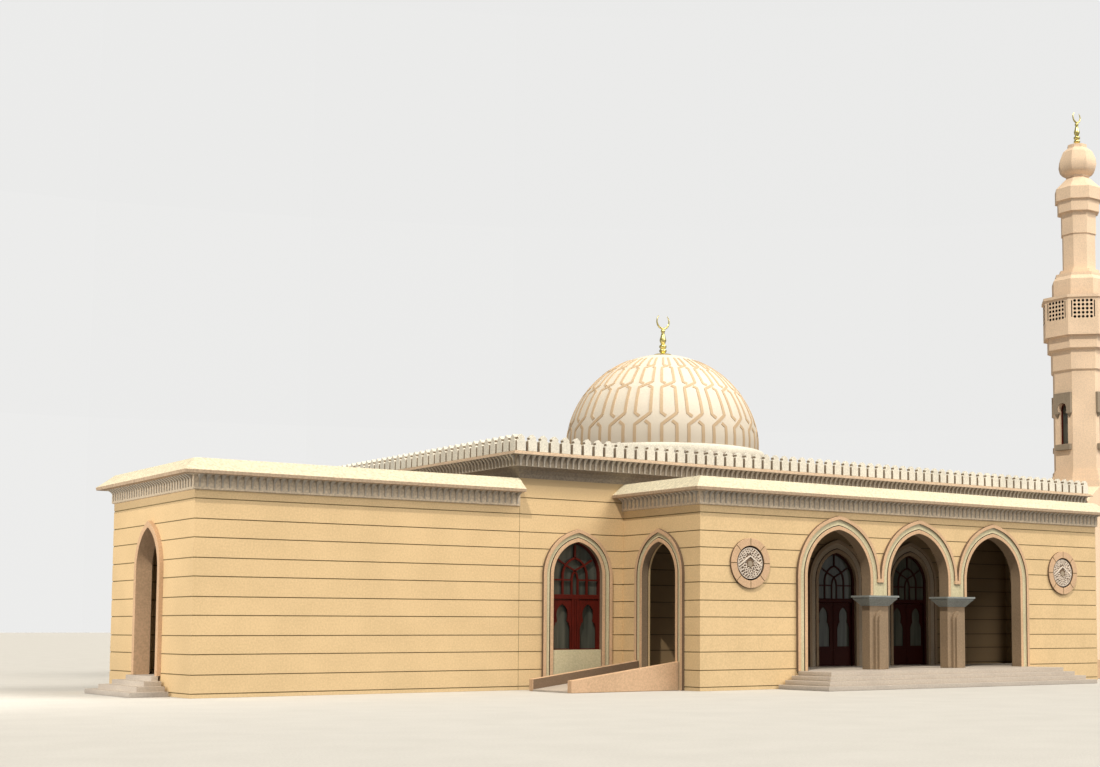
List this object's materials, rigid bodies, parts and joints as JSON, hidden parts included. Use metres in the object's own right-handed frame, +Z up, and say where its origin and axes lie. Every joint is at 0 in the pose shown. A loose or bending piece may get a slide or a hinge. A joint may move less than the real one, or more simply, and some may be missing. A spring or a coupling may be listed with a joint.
{
  "type": "mosque building, 1:2 scale model",
  "caption": "Mosque with a domed prayer hall, arcaded porch, low entrance wing and octagonal minaret, with hinged double doors.",
  "frame": {"origin": "ground level below the middle doorway, in the plane of the prayer hall's front wall", "axes": "+X along the front towards the minaret, +Y into the building, +Z up"},
  "size_m": [24.3693, 16.79, 14.1852],
  "materials": {
    "wall_stone": "smooth banded render",
    "trim_stone": "smooth pink stone",
    "cap_stone": "smooth pale stone",
    "pale_stone": "smooth render",
    "grey_stone": "honed grey stone",
    "step_stone": "honed paving stone",
    "dome_stone": "smooth pale stone",
    "door_wood": "red-brown varnished",
    "window_glass": "tinted",
    "gilt_metal": "polished gilt"
  },
  "bodies": {
    "building": {"dome": "dome_stone", "dome_finial": "gilt_metal", "door_frame_left": "door_wood", "door_frame_middle": "door_wood", "door_frame_right": "door_wood", "hall_and_porch_floor": "step_stone", "hall_back_wall": "wall_stone", "hall_cornice": "cap_stone", "hall_crenellation": "cap_stone", "hall_door_pier_left": "wall_stone", "hall_door_pier_right": "wall_stone", "hall_front_wall_left": "wall_stone", "hall_front_wall_right": "wall_stone", "hall_left_wall": "wall_stone", "hall_right_wall": "wall_stone", "hall_roof_and_drum": "pale_stone", "hall_wall_over_doors": "wall_stone", "minaret_base": "pale_stone", "minaret_bulb": "pale_stone", "minaret_finial": "gilt_metal", "minaret_gallery": "pale_stone", "minaret_shaft": "pale_stone", "minaret_upper_shaft": "pale_stone", "porch_arcade": "wall_stone", "porch_cornice": "cap_stone", "porch_front_wall_left": "wall_stone", "porch_front_wall_right": "wall_stone", "porch_landing": "step_stone", "porch_pier_left": "grey_stone", "porch_pier_right": "grey_stone", "porch_roof": "pale_stone", "porch_roundel_left": "trim_stone", "porch_roundel_right": "trim_stone", "porch_side_wall_left": "wall_stone", "porch_side_wall_right": "wall_stone", "porch_step_bottom": "step_stone", "porch_step_second": "step_stone", "porch_step_third": "step_stone", "ramp_left": "trim_stone", "ramp_right": "trim_stone", "window_frame_left": "door_wood", "window_frame_right": "door_wood", "window_glass_left": "window_glass", "window_glass_right": "window_glass", "wing_back_wall": "wall_stone", "wing_cornice": "cap_stone", "wing_end_wall": "wall_stone", "wing_floor": "step_stone", "wing_front_wall": "wall_stone", "wing_roof": "pale_stone", "wing_steps": "step_stone"},
    "door_left_leaf_left": {"door_left_leaf_left": "door_wood"},
    "door_left_leaf_right": {"door_left_leaf_right": "door_wood"},
    "door_middle_leaf_left": {"door_middle_leaf_left": "door_wood"},
    "door_middle_leaf_right": {"door_middle_leaf_right": "door_wood"},
    "door_right_leaf_left": {"door_right_leaf_left": "door_wood"},
    "door_right_leaf_right": {"door_right_leaf_right": "door_wood"}
  },
  "joints": [
    {"name": "door_left_leaf_left_hinge", "type": "hinge", "parent": "building", "child": "door_left_leaf_left", "pos_m": [-2.6287, 0.13, 0.3325], "axis": [0, 0, 1], "range_deg": [0, 90]},
    {"name": "door_left_leaf_right_hinge", "type": "hinge", "parent": "building", "child": "door_left_leaf_right", "pos_m": [-1.6563, 0.13, 0.3325], "axis": [0, 0, -1], "range_deg": [0, 90]},
    {"name": "door_middle_leaf_left_hinge", "type": "hinge", "parent": "building", "child": "door_middle_leaf_left", "pos_m": [-0.4862, 0.13, 0.3325], "axis": [0, 0, 1], "range_deg": [0, 90]},
    {"name": "door_middle_leaf_right_hinge", "type": "hinge", "parent": "building", "child": "door_middle_leaf_right", "pos_m": [0.4862, 0.13, 0.3325], "axis": [0, 0, -1], "range_deg": [0, 90]},
    {"name": "door_right_leaf_left_hinge", "type": "hinge", "parent": "building", "child": "door_right_leaf_left", "pos_m": [1.6563, 0.13, 0.3325], "axis": [0, 0, 1], "range_deg": [0, 90]},
    {"name": "door_right_leaf_right_hinge", "type": "hinge", "parent": "building", "child": "door_right_leaf_right", "pos_m": [2.6287, 0.13, 0.3325], "axis": [0, 0, -1], "range_deg": [0, 90]}
  ]
}
